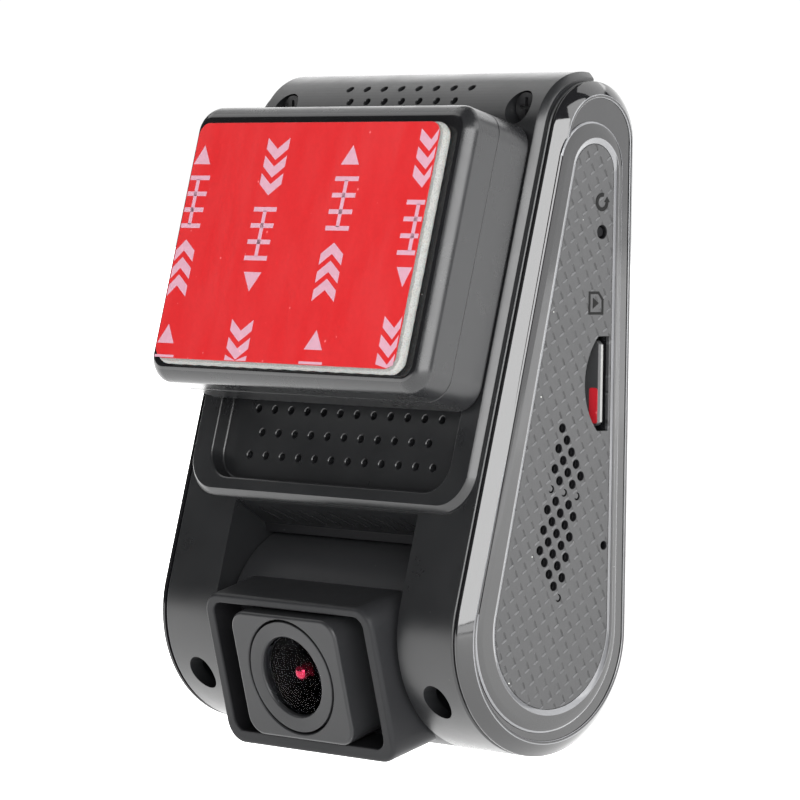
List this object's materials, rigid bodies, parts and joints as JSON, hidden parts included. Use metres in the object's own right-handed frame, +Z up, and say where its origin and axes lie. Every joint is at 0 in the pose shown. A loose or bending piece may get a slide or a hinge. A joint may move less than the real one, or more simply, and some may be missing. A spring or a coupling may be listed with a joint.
{
  "type": "dash camera",
  "caption": "Drop-shaped dash camera with a tilting square-hooded lens drum, rear screen with push buttons, gloss side covers, and a slide-off adhesive windscreen mount.",
  "frame": {"origin": "centre of the outer face of the adhesive pad's release liner, the face that goes against the windscreen", "axes": "+Z up, +Y towards the screen at the back of the camera, -Y is the way the lens looks, +X is the memory-card side"},
  "size_m": [0.0596, 0.0387, 0.0893],
  "materials": {
    "shell_plastic": "fine spark-eroded texture, near-black",
    "mount_plastic": "satin near-black with a polished margin round the pad",
    "gloss_plastic": "piano black",
    "woven_inlay": "grey woven-fibre pattern, semi gloss",
    "screen_glass": "smoked clear acrylic over the screen, reads black when off",
    "dark_plastic": "moulded black",
    "circuit_board": "solder mask over glass-epoxy",
    "aluminium": "plain rolled",
    "steel": "tinned steel",
    "black_steel": "black zinc plate",
    "gold_contact": "gold flash",
    "light_pipe": "milky clear",
    "button_plastic": "smooth satin",
    "card_plastic": "moulded black with a plain red label band",
    "satin_plastic": "fine satin, mid grey in the light",
    "lens_glass": "coated optical glass",
    "sensor_ceramic": "fired ceramic",
    "washer_rubber": "greased rubber",
    "pad_foam": "light grey closed-cell acrylic foam",
    "liner_film": "red polyethylene release film with a plain pale repeat mark"
  },
  "bodies": {
    "mount": {"mount_base": "shell_plastic", "mount_cover": "mount_plastic", "adhesive_pad": "pad_foam", "release_liner": "liner_film", "position_board": "circuit_board", "position_antenna": "sensor_ceramic", "pin_block": "gold_contact", "mount_screw_1": "black_steel", "mount_screw_2": "black_steel", "mount_screw_3": "black_steel", "mount_screw_4": "black_steel"},
    "casing": {"front_shell": "shell_plastic", "rear_shell": "shell_plastic", "right_cover": "gloss_plastic", "left_cover": "gloss_plastic", "right_inlay": "woven_inlay", "left_inlay": "woven_inlay", "display_window": "screen_glass", "display_panel": "dark_plastic", "main_board": "circuit_board", "key_board": "circuit_board", "heat_spreader": "aluminium", "supercapacitor_1": "steel", "supercapacitor_2": "steel", "speaker": "dark_plastic", "microphone": "steel", "card_socket": "steel", "power_socket": "steel", "case_screw_1": "black_steel", "case_screw_2": "black_steel", "case_screw_3": "black_steel", "case_screw_4": "black_steel", "status_light_1": "light_pipe", "status_light_2": "light_pipe", "status_light_3": "light_pipe", "contact_plate": "gold_contact"},
    "lens_unit": {"lens_drum": "satin_plastic", "drum_hatch": "satin_plastic", "lens_plate": "satin_plastic", "lens_ring": "satin_plastic", "lens_cell": "dark_plastic", "front_glass": "lens_glass", "inner_lens": "lens_glass", "infrared_filter": "lens_glass", "lens_holder": "dark_plastic", "image_sensor": "sensor_ceramic", "sensor_board": "circuit_board", "friction_washer_left": "washer_rubber", "friction_washer_right": "washer_rubber"},
    "card": {"memory_card": "card_plastic"},
    "reset": {"reset_button": "button_plastic"},
    "key_1": {"button_1": "button_plastic"},
    "key_2": {"button_2": "button_plastic"},
    "key_3": {"button_3": "button_plastic"},
    "key_4": {"button_4": "button_plastic"},
    "key_5": {"button_5": "button_plastic"}
  },
  "joints": [
    {"name": "mount_slide", "type": "slide", "parent": "mount", "child": "casing", "axis": [0, 0.2478, 0.9688], "range_m": [0, 0.0105]},
    {"name": "lens_tilt", "type": "hinge", "parent": "casing", "child": "lens_unit", "pos_m": [0, 0.01839, -0.05193], "axis": [1, 0, 0], "range_deg": [-30, 50]},
    {"name": "card_slide", "type": "slide", "parent": "casing", "child": "card", "axis": [1, 0, 0], "range_m": [-0.0006, 0.012]},
    {"name": "reset_press", "type": "slide", "parent": "casing", "child": "reset", "axis": [-1, 0, 0], "range_m": [0, 0.0004], "stiffness_N_per_m": 400},
    {"name": "key_1_press", "type": "slide", "parent": "casing", "child": "key_1", "axis": [0, -1, 0], "range_m": [0, 0.0004], "stiffness_N_per_m": 400},
    {"name": "key_2_press", "type": "slide", "parent": "casing", "child": "key_2", "axis": [0, -1, 0], "range_m": [0, 0.0004], "stiffness_N_per_m": 400},
    {"name": "key_3_press", "type": "slide", "parent": "casing", "child": "key_3", "axis": [0, -1, 0], "range_m": [0, 0.0004], "stiffness_N_per_m": 400},
    {"name": "key_4_press", "type": "slide", "parent": "casing", "child": "key_4", "axis": [0, -1, 0], "range_m": [0, 0.0004], "stiffness_N_per_m": 400},
    {"name": "key_5_press", "type": "slide", "parent": "casing", "child": "key_5", "axis": [0, -1, 0], "range_m": [0, 0.0004], "stiffness_N_per_m": 400}
  ]
}
